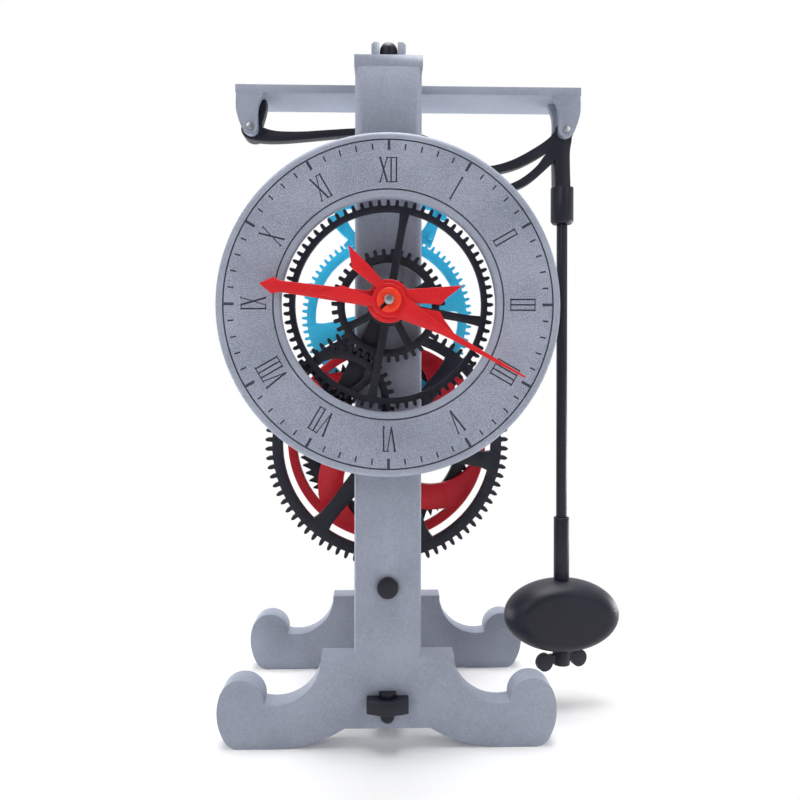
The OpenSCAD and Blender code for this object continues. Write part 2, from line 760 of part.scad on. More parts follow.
// Strip wound in a spiral, its outer end against the drum and its inner end beside the arbor
spring_in_r = great_arbor_r + 0.8;
spring_out_r = drum_r - drum_wall - spring_t - snug;
spring_pitch = (spring_out_r - spring_in_r) / spring_turns;
function spiral_at(t) = polar(spring_in_r + spring_pitch * t, 360 * t);
spiral_steps = [for (i = [0 : spring_turns * 24]) i / 24];
echo("least gap between turns of the mainspring", min([for (t = spiral_steps) if (t >= 1)
    norm(spiral_at(t)) - norm(spiral_at(t - 1)) - spring_t]));
module mainspring() {
    inner = [for (t = spiral_steps) spiral_at(t)];
    outer = [for (p = inner) p * (norm(p) + spring_t) / norm(p)];
    color([0.35, 0.36, 0.4]) slab(drum_d + 0.4, drum_t - 1) centre_at(great_z)
        polygon(concat(inner, [for (i = [len(outer) - 1 : -1 : 0]) outer[i]]));
}

module great_arbor() {
    color([0.75, 0.75, 0.78]) bar(0, great_z, great_arbor_r, -0.6, stand_depth + 0.8);
}

// The winding wheel's four broad arms are bands of a circle that sweep from hub to rim
arm_centre = [19.3, 2.8];
arm_in_r = 22;
arm_out_r = 33;
winding_hub_r = 11;
module winding_wheel() {
    color([0.8, 0.12, 0.17]) difference() {
        slab(winding_d, wheel_t) centre_at(great_z) {
            difference() {
                circle(winding_r, $fn = 128);
                circle(winding_r - winding_rim, $fn = 128);
            }
            circle(winding_hub_r);
            for (i = [0 : 3]) rotate(90 * i) intersection() {
                translate(arm_centre) difference() {
                    circle(arm_out_r, $fn = 128);
                    circle(arm_in_r, $fn = 128);
                }
                circle(winding_r - winding_rim + 0.5, $fn = 128);
                rotate(8) translate([-12, -60]) square([80, 60]);
            }
        }
        bar(0, great_z, great_arbor_r + snug, winding_d - 1, stand_depth);
    }
}

module ratchet_wheel() {
    color([0.13, 0.13, 0.15]) difference() {
        union() {
            slab(ratchet_d, ratchet_t) centre_at(great_z) difference() {
                rotate(ratchet_phase) saw_disc(ratchet_teeth, ratchet_r - 3, ratchet_r, -1);
                windows(10, 31.2, 4, 2.6, 2.2, 1.5, 30);
            }
            bar(0, great_z, 6, ratchet_d, rear_d - side);
        }
        bar(0, great_z, great_arbor_r + snug, ratchet_d - 1, stand_depth);
    }
}

// Pawl on its post: its tail outweighs its nose, so the nose rises to the wheel
click_hub_r = 5.2;
click_nose = [6.5, great_z - lower_post_z - sqrt(pow(ratchet_r + 0.3, 2) - pow(6.5, 2))];
module click() {
    color([0.13, 0.13, 0.15]) difference() {
        union() {
            slab(ratchet_d + side, ratchet_t - side) centre_at(lower_post_z) {
                polygon([[1.5, 3], [click_nose[0] - 1.8, click_nose[1] - 2.2],
                         [click_nose[0] - 0.4, click_nose[1]], [click_nose[0] + 0.6, click_nose[1] - 0.5],
                         [click_nose[0] + 0.9, click_nose[1] - 2.5], [4.9, 0]]);
                polygon([[-3, -3], [-11, -3.6], [-11.5, 0], [-4, 2.6]]);
                translate([-11, -1.6]) circle(2.9);
            }
            bar(0, lower_post_z, click_hub_r, ratchet_d, rear_d - side);
        }
        bar(0, lower_post_z, lower_spigot_r + run, ratchet_d - 1, rear_d + 1);
    }
}

// ---------------------------------------------------------------- escapement

module escape_arbor() {
    color([0.75, 0.75, 0.78]) bar(0, escape_z, arbor_r, -0.2, stand_depth + 0.8);
}

module escape_pinion() {
    color([0.15, 0.78, 0.95]) difference() {
        union() {
            slab(centre_d, wheel_t) centre_at(escape_z) rotate(escape_pinion_phase)
                toothed_disc(escape_leaves, centre_module, escape_leaves * centre_module / 4, 0.85, 1.25, 0.44);
            bar(0, escape_z, 2.9, escape_d + escape_t, rear_d - side);
        }
        bar(0, escape_z, arbor_r + snug, escape_d, stand_depth);
    }
}

// The idler turns on a pin that stands forward from the rear frame
idler_pin_r = 1;
idler_pin_l = 5;
module idler_pin() {
    color([0.75, 0.75, 0.78]) bar(idler_x, idler_z, idler_pin_r, centre_d - 0.8, rear_d + idler_pin_l);
}

module idler_pinion() {
    color([0.15, 0.78, 0.95]) difference() {
        union() {
            slab(centre_d, wheel_t) translate([idler_x, idler_z]) rotate(idler_phase)
                toothed_disc(idler_leaves, centre_module, idler_leaves * centre_module / 4, 0.85, 1.25, 0.44);
            bar(idler_x, idler_z, 2.9, centre_d + wheel_t, rear_d - side);
        }
        bar(idler_x, idler_z, idler_pin_r + run, centre_d - 1, rear_d);
    }
}

module escape_wheel() {
    color([0.15, 0.78, 0.95]) difference() {
        union() {
            slab(escape_d, escape_t) centre_at(escape_z) difference() {
                rotate(escape_phase) saw_disc(escape_teeth, escape_r - 3, escape_r, -1);
                windows(5.5, 18.2, 4, 2.2, 2, 1, 0);
                pin_circle(pin_r + snug);
            }
            bar(0, escape_z, 3.4, frame_t + side, escape_d + 1);
        }
        bar(0, escape_z, arbor_r + snug, 0, stand_depth);
    }
}

pin_lead = -0.75 * 360 / escape_teeth;
module pin_circle(r) {
    for (i = [0 : escape_teeth - 1])
        rotate(escape_phase + pin_lead + i * 360 / escape_teeth) translate([pin_circle_r, 0]) circle(r);
}

module escape_pins() {
    color([0.15, 0.78, 0.95]) slab(escape_d - 4.2, escape_t + 4.2) centre_at(escape_z) pin_circle(pin_r);
}

// The detent turns on the left pin. Its nose stops the wheel at the top, its tail is lifted
// by the pendulum's upper arm, and its short horn meets the bar and limits the lift.
nose_z = escape_z + escape_r + lock_gap - pin_z;
module detent() {
    tail = [detent_x + 27, escape_z + 18.2 - pin_z];
    color([0.13, 0.13, 0.15]) difference() {
        union() {
            slab(lever_arm_d, lever_t) translate([-detent_x, pin_z]) {
                polygon(concat(
                    smooth([[-1, 4], [3.4, 1.2], [9.5, -0.6], [19.6, -0.8], [29.8, -0.1], [41.5, 0.7],
                            [detent_x, 1], [detent_x + 14, -1.6], tail + [1.5, 2.4]], 4),
                    [tail + [1.8, 0], tail],
                    smooth([[detent_x + 13, nose_z - 1], [detent_x + 2, nose_z + 0.6], [41.5, -2],
                            [29.8, -3.1], [14.5, -4.6], [6, -4.9], [0, -4.3]], 4)));
                polygon(smooth([[0.5, 3.5], [2.8, 8.2], [3.4, 11.4], [5.6, 11.8], [5.6, 8], [4, 2.2]], 3));
            }
            slab(lever_arm_d, escape_d + escape_t - lever_arm_d) translate([-detent_x, pin_z])
                polygon([[detent_x - 3.5, nose_z], [detent_x + 0.5, nose_z],
                         [detent_x + 1.5, 0.2], [detent_x - 3.5, 0.2]]);
            bar(-detent_x, pin_z, 4.3, lever_d, lever_d + lever_hub_t);
        }
        bar(-detent_x, pin_z, lever_pin_r + run, lever_d - 1, lever_d + lever_hub_t + 1);
    }
}

module detent_pin() {
    color([0.75, 0.75, 0.78])
        bar(-detent_x, pin_z, lever_pin_r, bar_d - 0.4, bar_d + 2 * ear_t + ear_gap + 0.4);
}

module pendulum_pin() {
    color([0.75, 0.75, 0.78])
        bar(pendulum_x, pin_z, lever_pin_r, bar_d - 0.4, bar_d + 2 * ear_t + ear_gap + 0.4);
}

// ---------------------------------------------------------------- pendulum

pendulum_d = bar_d + ear_t + ear_gap / 2;
rod_y = front_y + pendulum_d;
module upright(r, z0, z1) {
    translate([pendulum_x, rod_y, z0]) cylinder(r = r, h = z1 - z0);
}

// The upper arm lifts the detent, and the lower one takes the push of the wheel's pins
module pendulum_arms() {
    polygon(concat(
        smooth([[-2, 2], [-6.7, -3], [-14.1, -7.9], [-22.2, -12], [-31, -14.3], [-44, -15.3]], 4),
        smooth([[-44, -17.6], [-35, -17.8], [-26.3, -16.7], [-18.1, -14.4], [-10, -10.2], [-4, -6]], 4)));
    polygon(concat(
        smooth([[-3, -4], [-7.2, -8.7], [-10.8, -13.6], [-16.5, -18.5], [-22.5, -21.6], [-32, -24.8],
                [-45.2, -26.6]], 4),
        smooth([[-45.2, -29.4], [-32, -28], [-19.3, -23.5], [-14.1, -20.9], [-9.2, -16.9], [-4, -12]], 4)));
}

module pendulum_head() {
    head_left = -head_w / 2 - 0.75;
    head_right = head_w / 2 - 0.75;
    neck = collar_top_z - pin_z;
    color([0.13, 0.13, 0.15]) difference() {
        union() {
            slab(lever_arm_d, lever_t) translate([pendulum_x, pin_z]) pendulum_arms();
            bar(pendulum_x, pin_z, 3.8, lever_d, lever_d + lever_hub_t);
            slab(lever_d + 0.4, lever_hub_t - 0.8) translate([pendulum_x, pin_z]) polygon(concat(
                smooth([[-3, 2], [-4.3, -3], [head_left, -9], [head_left + 0.3, neck - 1]], 4),
                smooth([[head_right + 0.3, neck - 1], [head_right, -9], [3.2, -3], [3, 2]], 4)));
            upright(collar_r, collar_bottom_z + 1, collar_top_z);
            translate([pendulum_x, rod_y, collar_bottom_z])
                cylinder(r1 = collar_r - 0.8, r2 = collar_r, h = 1 + eps);
        }
        bar(pendulum_x, pin_z, lever_pin_r + run, lever_d - 1, lever_d + lever_hub_t + 1);
        upright(rod_r + snug, collar_bottom_z - 1, collar_top_z - 3);
    }
}

rod_end_z = nut_z - 1;
module pendulum_rod() {
    color([0.13, 0.13, 0.15]) upright(rod_r, rod_end_z, collar_top_z - 3);
}

// The bob is an elliptic pebble with flat faces, moulded as two halves with a seat for the sleeve
sleeve_seat_z = bob_z + bob_h / 2 - 0.8;
module ellipse(k) {
    polygon([for (i = [0 : 47]) [k * bob_w / 2 * cos(i * 7.5), k * bob_h / 2 * sin(i * 7.5)]]);
}

module bob_half() {
    rise = bob_depth / 2;
    difference() {
        rotate([90, 0, 0]) hull() {
            for (p = [[0, 1], [0.35, 0.975], [0.68, 0.9], [0.9, 0.78], [1, 0.66]])
                translate([0, 0, p[0] * rise - (p[0] > 0 ? 0.1 : 0)]) linear_extrude(0.1) ellipse(p[1]);
        }
        translate([0, 0, -30]) cylinder(r = rod_r + run, h = 60);
        translate([0, 0, sleeve_seat_z - bob_z]) cylinder(r = sleeve_r + snug, h = 30);
    }
}

module bob_front() {
    color([0.13, 0.13, 0.15]) translate([pendulum_x, rod_y, bob_z]) rotate(bob_turn) bob_half();
}

module bob_back() {
    color([0.13, 0.13, 0.15]) translate([pendulum_x, rod_y, bob_z]) rotate(bob_turn)
        mirror([0, 1, 0]) bob_half();
}

module bob_sleeve() {
    color([0.13, 0.13, 0.15]) difference() {
        upright(sleeve_r, sleeve_seat_z, sleeve_top_z);
        upright(rod_r + run, sleeve_seat_z - 1, sleeve_top_z + 1);
    }
}

nut_top_z = bob_z - bob_h / 2;
module rating_nut() {
    color([0.13, 0.13, 0.15]) difference() {
        union() {
            upright(3.5, nut_z - 1.6, nut_top_z);
            translate([pendulum_x, rod_y, nut_z]) rotate([90, 0, nut_turn]) linear_extrude(2.4, center = true) {
                for (s = [-1, 1]) translate([8 * s, 0]) circle(nut_wing_r);
                translate([-7, -0.4]) square([14, 3]);
            }
        }
        upright(rod_r + run, nut_z - 10, nut_z + 20);
    }
}

// ---------------------------------------------------------------- phases that put teeth in mesh

// A pinion's leaf or a wheel's tooth lies on the line of centres, and its partner's gap with it
great_phase = 90 - 180 / great_teeth;
centre_pinion_phase = -90;
centre_phase = 90 - idler_lean + 180 / centre_teeth;
idler_phase = -90 - idler_lean;
idler_turn = atan2(escape_z - idler_z, -idler_x);
escape_pinion_phase = idler_turn + 180 + 180 / escape_leaves
    + (idler_turn - idler_phase) * idler_leaves / escape_leaves;
cannon_phase = -90 - minute_angle;
minute_phase = 90 - minute_angle + 180 / cannon_teeth;
minute_pinion_phase = 90 - minute_angle;
hour_phase = -90 - minute_angle + 180 / hour_teeth;
ratchet_phase = 0;
escape_phase = 13;

front_frame();
rear_frame();
top_bar();
top_screws();
lower_stretcher();
tusk_pins();
rim_post();
click_post();
post_caps();
dial();
dial_posts();
minute_arm();
minute_post();
detent_pin();
pendulum_pin();
centre_arbor();
centre_pinion();
centre_wheel();
cannon_wheel();
minute_hand();
hand_clip();
hour_wheel();
hour_hand();
minute_wheel();
minute_pinion();
great_wheel();
spring_drum();
mainspring();
great_arbor();
winding_wheel();
ratchet_wheel();
click();
idler_pin();
idler_pinion();
escape_arbor();
escape_pinion();
escape_wheel();
escape_pins();
detent();
pendulum_head();
pendulum_rod();
bob_front();
bob_back();
bob_sleeve();
rating_nut();
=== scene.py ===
# %% [markdown]
# # A geared teaching clock
# The clock is made of plastic parts with steel rods for arbors, and every wheel is open to view. Its
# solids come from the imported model, each with its place in its own mesh. This script gives them
# soft edges and finishes. It makes new pieces where the real thing has detail that the solids leave
# out, which are the engraved dial, the pebble-shaped bob and the socket screws, and it shortens one
# arm.

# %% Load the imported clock
import json
import math
import bmesh
import bpy
from mathutils import Matrix, Vector


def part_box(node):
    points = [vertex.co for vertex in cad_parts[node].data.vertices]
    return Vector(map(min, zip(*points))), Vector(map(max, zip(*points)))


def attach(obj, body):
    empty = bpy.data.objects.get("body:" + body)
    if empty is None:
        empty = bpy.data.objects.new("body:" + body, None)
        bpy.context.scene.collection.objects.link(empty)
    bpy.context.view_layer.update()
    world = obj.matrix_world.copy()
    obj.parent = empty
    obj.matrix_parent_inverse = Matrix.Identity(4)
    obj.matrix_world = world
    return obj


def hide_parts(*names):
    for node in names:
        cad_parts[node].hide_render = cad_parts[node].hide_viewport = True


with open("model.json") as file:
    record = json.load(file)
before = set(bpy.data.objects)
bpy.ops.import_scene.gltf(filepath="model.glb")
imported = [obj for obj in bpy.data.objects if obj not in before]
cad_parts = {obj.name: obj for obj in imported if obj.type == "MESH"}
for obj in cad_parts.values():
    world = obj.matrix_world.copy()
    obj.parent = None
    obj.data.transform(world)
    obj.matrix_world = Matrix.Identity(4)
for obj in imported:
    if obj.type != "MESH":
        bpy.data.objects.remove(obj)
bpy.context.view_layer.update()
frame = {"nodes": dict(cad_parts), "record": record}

MM = 0.001
nodes = frame["nodes"]

# %% [markdown]
# The clock stands on the floor with its front towards -Y. The dial's place and outer size are read
# from the solid's box, so that the new dial sits where the solid sat. The screws further down do the
# same, and only the bob's place is written out.

# %% Places that the new pieces need
dial_low, dial_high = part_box("dial")
dial_centre = (dial_low + dial_high) / 2
dial_r = (dial_high.x - dial_low.x) / 2
dial_front = dial_low.y
dial_t = dial_high.y - dial_low.y
slot_of = {part["node"]: part["material_slot"] for part in frame["record"]["subparts"]}
print("dial radius in mm:", round(dial_r / MM, 2), "centre height:", round(dial_centre.z / MM, 2))

# %% [markdown]
# ## The camera
# The photograph was taken from close by, about 27 cm in front of the clock and a little above its
# middle, so the back frame looks clearly smaller than the front one. The lens looks level and a
# touch to the right, and the frame is shifted down, which keeps the upright pillars parallel. It was
# held a tenth of a degree out of true.

# %% Camera
camera_data = bpy.data.cameras.new("camera")
camera = bpy.data.objects.new("camera", camera_data)
bpy.context.scene.collection.objects.link(camera)
camera.location = (-2.25 * MM, -309.5 * MM, 142.1 * MM)
camera.rotation_euler = (math.radians(90), math.radians(-0.1), math.radians(-1.4))
camera_data.sensor_width = 36
camera_data.lens = 33.2
camera_data.shift_y = -0.05
camera_data.clip_start = 0.01
camera_data.clip_end = 20
bpy.context.scene.camera = camera
print("camera height in mm:", round(camera.location.z / MM, 1))

# %% [markdown]
# ## Writing finishes as sums
# A finish is a small net of shader nodes. Wiring it by hand hides the idea, so one class wraps a
# node's output and turns Python's operators into Math nodes, and one method makes any other node.
# The same net can sit in a material or in the sky.

# %% A number in a finish
class Value:
    """A number on its way through a finish."""

    def __init__(self, finish, socket):
        self.finish = finish
        self.socket = socket

    def combined(self, operation, first, second):
        return self.finish.node("ShaderNodeMath", {"operation": operation}, {0: first, 1: second})

    def __add__(self, other):
        return self.combined("ADD", self, other)

    def __sub__(self, other):
        return self.combined("SUBTRACT", self, other)

    def __rsub__(self, other):
        return self.combined("SUBTRACT", other, self)

    def __mul__(self, other):
        return self.combined("MULTIPLY", self, other)

    __radd__ = __add__
    __rmul__ = __mul__


print("numbers can be added, subtracted and multiplied")

# %% A finish and the nodes in it
class Finish:
    """The net of shader nodes in a material or a world."""

    def __init__(self, owner):
        owner.use_nodes = True
        self.owner = owner
        self.tree = owner.node_tree
        self.tree.nodes.clear()

    def node(self, kind, settings=None, inputs=None, output=0):
        made = self.tree.nodes.new(kind)
        for key, setting in (settings or {}).items():
            setattr(made, key, setting)
        for key, value in (inputs or {}).items():
            if isinstance(value, Value):
                self.tree.links.new(value.socket, made.inputs[key])
            else:
                made.inputs[key].default_value = value
        return Value(self, made.outputs[output]) if len(made.outputs) else None

    def noise(self, place, scale, detail):
        return self.node("ShaderNodeTexNoise", {}, {"Vector": place, "Scale": scale, "Detail": detail})

    def stretched(self, value, low, high, to_low=0.0, to_high=1.0, kind="LINEAR"):
        """Runs from to_low to to_high while value runs from low to high, and stays there outside."""
        return self.node("ShaderNodeMapRange", {"clamp": True, "interpolation_type": kind},
                         {"Value": value, "From Min": low, "From Max": high,
                          "To Min": to_low, "To Max": to_high})

    def mixed(self, share, first, second):
        """A colour between first and second."""
        return self.node("ShaderNodeMix", {"data_type": "RGBA"}, {0: share, 6: first, 7: second}, output=2)


def paint(red, green, blue):
    """A colour read from a screen, as the shader wants it."""
    def linear(level):
        level /= 255
        return level / 12.92 if level <= 0.04045 else ((level + 0.055) / 1.055) ** 2.4
    return (linear(red), linear(green), linear(blue), 1.0)


print("shader helpers ready")

# %% [markdown]
# ## The plastic
# Each part was made layer by layer, lying on its face. The face that lay on the plate has the
# plate's fine sandy grain, and the sides show the layers as faint lines. So the finish looks at
# which way the surface points: grain where it faces the front or the back, lines elsewhere. A slow
# mottling keeps the colour from looking like paint, and the roughness follows the grain.

# %% Plastic finishes
LAYER = 0.28 * MM
SAND_SCALE, COARSE_SCALE, DRIFT_SCALE = 2600.0, 720.0, 45.0


def plastic(name, colour, dark, roughness, grain=1.0, shine=0.5):
    """colour and dark are the two ends of the mottling, and grain scales the sandy relief."""
    finish = Finish(bpy.data.materials.new(name))
    place = finish.node("ShaderNodeTexCoord", output="Object")
    facing = finish.node("ShaderNodeTexCoord", output="Normal")
    y_place = finish.node("ShaderNodeSeparateXYZ", {}, {0: place}, output="Y")
    y_facing = finish.node("ShaderNodeSeparateXYZ", {}, {0: facing}, output="Y")
    face = finish.node("ShaderNodeMath", {"operation": "ABSOLUTE"}, {0: y_facing})
    flat = finish.stretched(face, 0.8, 0.95)
    sand = finish.noise(place, SAND_SCALE, 2.0)
    coarse = finish.noise(place, COARSE_SCALE, 2.0)
    drift = finish.noise(place, DRIFT_SCALE, 3.0)
    wobble = drift * 0.6 + y_place * (2 * math.pi / LAYER)
    layers = finish.node("ShaderNodeMath", {"operation": "SINE"}, {0: wobble}) * 0.5 + 0.5
    relief = (sand * 0.6 + coarse * 0.4) * (flat * grain) + layers * ((1 - flat) * 0.35)
    bump = finish.node("ShaderNodeBump", {}, {"Strength": 0.55, "Distance": 0.12 * MM, "Height": relief})
    tone = drift * 0.75 + coarse * 0.25 + (sand - 0.5) * (flat * (1.2 * grain))
    body = finish.mixed(finish.stretched(tone, 0.3, 0.7), dark, colour)
    rough = sand * 0.16 + drift * 0.08 + (roughness - 0.1)
    shader = finish.node("ShaderNodeBsdfPrincipled", {},
                         {"Base Color": body, "Roughness": rough, "Normal": bump,
                          "Specular IOR Level": shine})
    finish.node("ShaderNodeOutputMaterial", {}, {0: shader})
    return finish.owner


finishes = {
    "grey_plastic": plastic("grey plastic", paint(160, 166, 182), paint(140, 146, 162), 0.55, grain=0.8),
    "black_plastic": plastic("black plastic", paint(29, 30, 47), paint(18, 19, 32), 0.42, shine=0.4),
    "red_plastic": plastic("red plastic", paint(222, 30, 38), paint(200, 22, 30), 0.42,
                           grain=0.8, shine=0.35),
    "crimson_plastic": plastic("crimson plastic", paint(226, 30, 48), paint(206, 22, 40), 0.45, shine=0.4),
    "cyan_plastic": plastic("cyan plastic", paint(68, 208, 248), paint(50, 194, 238), 0.42, shine=0.4),
    "orange_plastic": plastic("orange plastic", paint(247, 66, 34), paint(232, 50, 24), 0.4, shine=0.4),
}
print("plastic finishes:", len(finishes))

# %% [markdown]
# The dial has two finishes of its own. Its face shows more grain than the other parts, and the
# faces inside a cut get a darker grey as painted shade, because little light gets into so narrow a groove.

# %% Finishes of the dial
dial_finish = plastic("grey plastic of the dial", paint(162, 167, 184), paint(128, 134, 151), 0.6,
                      grain=1.5)
# Painted shade: the inside of each cut gets this darker grey, since little light reaches into a narrow
# groove.
groove_shade_finish = plastic("grey plastic with painted groove shade", paint(84, 88, 104), paint(62, 66, 80), 0.7)
print("dial finishes:", dial_finish.name, "and", groove_shade_finish.name)

# %% [markdown]
# ## The steel
# The arbors are lengths of ground rod. Grinding leaves hair-fine rings round the rod, so the
# roughness is stretched noise: long round the rod, very short along it. The spring strip is the
# same steel, heated until it turned blue grey.

# %% Steel finishes
def steel(name, colour, dark, roughness):
    """Rods lie front to back, so the noise is squeezed along Y."""
    finish = Finish(bpy.data.materials.new(name))
    place = finish.node("ShaderNodeTexCoord", output="Object")
    squeezed = finish.node("ShaderNodeMapping", {}, {"Vector": place, "Scale": (120.0, 5200.0, 120.0)})
    rings = finish.noise(squeezed, 1.0, 2.0)
    stain = finish.noise(place, 160.0, 3.0)
    bump = finish.node("ShaderNodeBump", {}, {"Strength": 0.2, "Distance": 0.03 * MM, "Height": rings})
    tint = finish.mixed(stain, dark, colour)
    rough = rings * 0.2 + stain * 0.1 + (roughness - 0.12)
    shader = finish.node("ShaderNodeBsdfPrincipled", {},
                         {"Base Color": tint, "Roughness": rough, "Normal": bump, "Metallic": 1.0})
    finish.node("ShaderNodeOutputMaterial", {}, {0: shader})
    return finish.owner


finishes["steel"] = steel("ground steel", paint(205, 205, 210), paint(170, 170, 178), 0.3)
finishes["spring_steel"] = steel("blued steel", paint(96, 100, 120), paint(66, 70, 92), 0.35)
print("finishes for the slots:", len(finishes))

# %% [markdown]
# ## Dressing the solids
# Real plastic has no knife edges: each corner catches a thin line of light. A Weld modifier joins
# the loose triangles of a solid, and a Bevel modifier rounds every sharp edge by 0.3 mm. Thin teeth
# take less and the frames take more, so the width follows the piece.

# %% Soft edges and finishes on the solids
MERGE = 0.002 * MM
FINE_EDGE, SOFT_EDGE, WIDE_EDGE = 0.12 * MM, 0.3 * MM, 0.5 * MM
fine_pieces = {"mainspring", "escape_pins", "minute_post", "idler_pin", "minute_hand", "hour_hand",
               "cannon_wheel", "minute_wheel", "minute_pinion", "hour_wheel", "great_wheel",
               "centre_wheel", "centre_pinion", "escape_pinion", "idler_pinion", "ratchet_wheel",
               "hand_clip"}
wide_pieces = {"front_frame", "rear_frame", "top_bar"}
edge_of = {**dict.fromkeys(fine_pieces, FINE_EDGE), **dict.fromkeys(wide_pieces, WIDE_EDGE)}


def soften(piece, width):
    """Rounds the sharp edges of a closed mesh."""
    piece.data.polygons.foreach_set("use_smooth", [True] * len(piece.data.polygons))
    weld = piece.modifiers.new("weld", "WELD")
    weld.merge_threshold = MERGE
    bevel = piece.modifiers.new("bevel", "BEVEL")
    bevel.width = width
    bevel.segments = 2
    bevel.limit_method = "ANGLE"
    bevel.angle_limit = math.radians(35)
    bevel.harden_normals = True


for name, piece in nodes.items():
    piece.data.materials.clear()
    piece.data.materials.append(finishes[slot_of[name]])
    soften(piece, edge_of.get(name, SOFT_EDGE))
print("dressed solids:", len(nodes))

# %% [markdown]
# ## Making pieces
# New pieces start as a bmesh, and three helpers do what they share. One turns a bmesh into a piece
# that rides on a body. One copies a solid and merges its loose triangles. One takes a shape out of a
# piece with a Boolean modifier and keeps the result as a plain mesh, so nothing that it was cut with
# stays behind. Each shape is put in place in its mesh, so its object stays at the origin.

# %% Helpers for new pieces
def piece_from(name, shape, slot, body, smooth=True):
    """Turns a bmesh into a piece of the clock that rides on a body."""
    mesh = bpy.data.meshes.new(name)
    shape.to_mesh(mesh)
    shape.free()
    if smooth:
        mesh.polygons.foreach_set("use_smooth", [True] * len(mesh.polygons))
    piece = bpy.data.objects.new(name, mesh)
    bpy.context.scene.collection.objects.link(piece)
    piece.data.materials.append(finishes[slot])
    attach(piece, body)
    return piece


def copy_of(node):
    """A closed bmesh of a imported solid."""
    shape = bmesh.new()
    shape.from_mesh(nodes[node].data)
    bmesh.ops.remove_doubles(shape, verts=shape.verts, dist=MERGE)
    return shape


def cut_out(piece, cutter_shape, finish):
    """Takes a bmesh out of a piece and gives the cut faces a finish."""
    cutter_mesh = bpy.data.meshes.new("cutter")
    cutter_shape.to_mesh(cutter_mesh)
    cutter_shape.free()
    cutter = bpy.data.objects.new("cutter", cutter_mesh)
    cutter.data.materials.append(finish)
    bpy.context.scene.collection.objects.link(cutter)
    cut = piece.modifiers.new("cut", "BOOLEAN")
    cut.operation = "DIFFERENCE"
    cut.solver = "EXACT"
    cut.use_self = True
    cut.material_mode = "TRANSFER"
    cut.object = cutter
    bpy.context.view_layer.update()
    whole = piece.evaluated_get(bpy.context.evaluated_depsgraph_get())
    carved = bpy.data.meshes.new_from_object(whole)
    piece.modifiers.clear()
    piece.data = carved
    bpy.data.objects.remove(cutter)


print("piece helpers ready")

# %% [markdown]
# ## The dial
# The dial is a flat ring with a rounded outer rim and two engraved circles. A ring with the same
# section all the way round is a lathe's work: the section is drawn once, as points of radius and
# depth, and spun about the line through the dial's centre.

# %% The dial's ring
RIM_ROUND = 1.6 * MM
INNER_EDGE = 0.5 * MM
LINE_W = 0.5 * MM
CUT_DEPTH = 0.45 * MM
dial_open = 36.4 * MM
inner_line = dial_open + 2.4 * MM
outer_line = dial_r - 2.8 * MM


def groove(radius):
    return [(radius - LINE_W / 2, 0), (radius - LINE_W / 2, CUT_DEPTH),
            (radius + LINE_W / 2, CUT_DEPTH), (radius + LINE_W / 2, 0)]


def lathe(section, centre, steps):
    """Spins a closed section of (radius, depth) points about a line that runs front to back."""
    shape = bmesh.new()
    ring = [shape.verts.new((radius, depth, 0)) for radius, depth in section]
    edges = [shape.edges.new((ring[i], ring[(i + 1) % len(ring)])) for i in range(len(ring))]
    bmesh.ops.spin(shape, geom=ring + edges, cent=(0, 0, 0), axis=(0, 1, 0), angle=math.tau,
                   steps=steps, use_merge=True)
    bmesh.ops.remove_doubles(shape, verts=shape.verts, dist=0.001 * MM)
    bmesh.ops.recalc_face_normals(shape, faces=shape.faces)
    bmesh.ops.translate(shape, verts=shape.verts, vec=centre)
    return shape


rim = [(dial_r - RIM_ROUND + RIM_ROUND * math.sin(math.radians(15 * i)),
        RIM_ROUND - RIM_ROUND * math.cos(math.radians(15 * i))) for i in range(7)]
dial_section = ([(dial_open, dial_t), (dial_open, INNER_EDGE), (dial_open + INNER_EDGE, 0)]
                + groove(inner_line) + groove(outer_line) + rim + [(dial_r, dial_t)])
dial_shape = lathe(dial_section, (dial_centre.x, dial_front, dial_centre.z), 180)
dial_ring = piece_from("dial_ring", dial_shape, "grey_plastic", "stand", smooth=False)
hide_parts("dial")
print("dial faces:", len(dial_ring.data.polygons))

# %% [markdown]
# The minute marks and Roman numerals are cut into the face, so they are real grooves here too: each
# mark or letter stroke is a thin block, and one Boolean takes all blocks out at once. Twelve stands
# at the top, and the numerals have their feet towards the middle, so each is drawn upright at the
# top and then turned to its hour. Four is written with four strokes, as on most clocks.

# %% Minute marks
MINUTE_FOOT, MINUTE_TOP, MINUTE_W = 52.2 * MM, 54.2 * MM, 0.5 * MM
HOUR_FOOT, HOUR_W = 51.9 * MM, 0.95 * MM


def stroke(shape, x0, z0, x1, z1, width, turn):
    """A thin block from (x0, z0) to (x1, z1) on the dial's face, turned to its hour."""
    start, end = Vector((x0, 0, z0)), Vector((x1, 0, z1))
    along = end - start
    made = bmesh.ops.create_cube(shape, size=1)["verts"]
    lean = math.atan2(along.x, along.z)
    shape_it = (Matrix.Translation((dial_centre.x, dial_front, dial_centre.z))
                @ Matrix.Rotation(turn, 4, "Y")
                @ Matrix.Translation((start + end) / 2)
                @ Matrix.Rotation(lean, 4, "Y")
                @ Matrix.Diagonal((width, 2 * CUT_DEPTH, along.length, 1)))
    bmesh.ops.transform(shape, matrix=shape_it, verts=made)


marks = bmesh.new()
for minute in range(60):
    turn = math.radians(6 * minute)
    if minute % 5:
        stroke(marks, 0, MINUTE_FOOT, 0, MINUTE_TOP, MINUTE_W, turn)
    else:
        stroke(marks, 0, HOUR_FOOT, 0, outer_line, HOUR_W, turn)
print("minute marks:", len(marks.verts) // 8)

# %% [markdown]
# The letters have the fine straight serifs of an old clock dial. One thin line runs over the tops
# and one under the feet, and it joins each letter to the next. V and X have a thick and a thin leg,
# and the point of a V has no line under it. A letter is a short list of legs: where the top is,
# where the foot is, both from the letter's middle, and how wide the leg is.

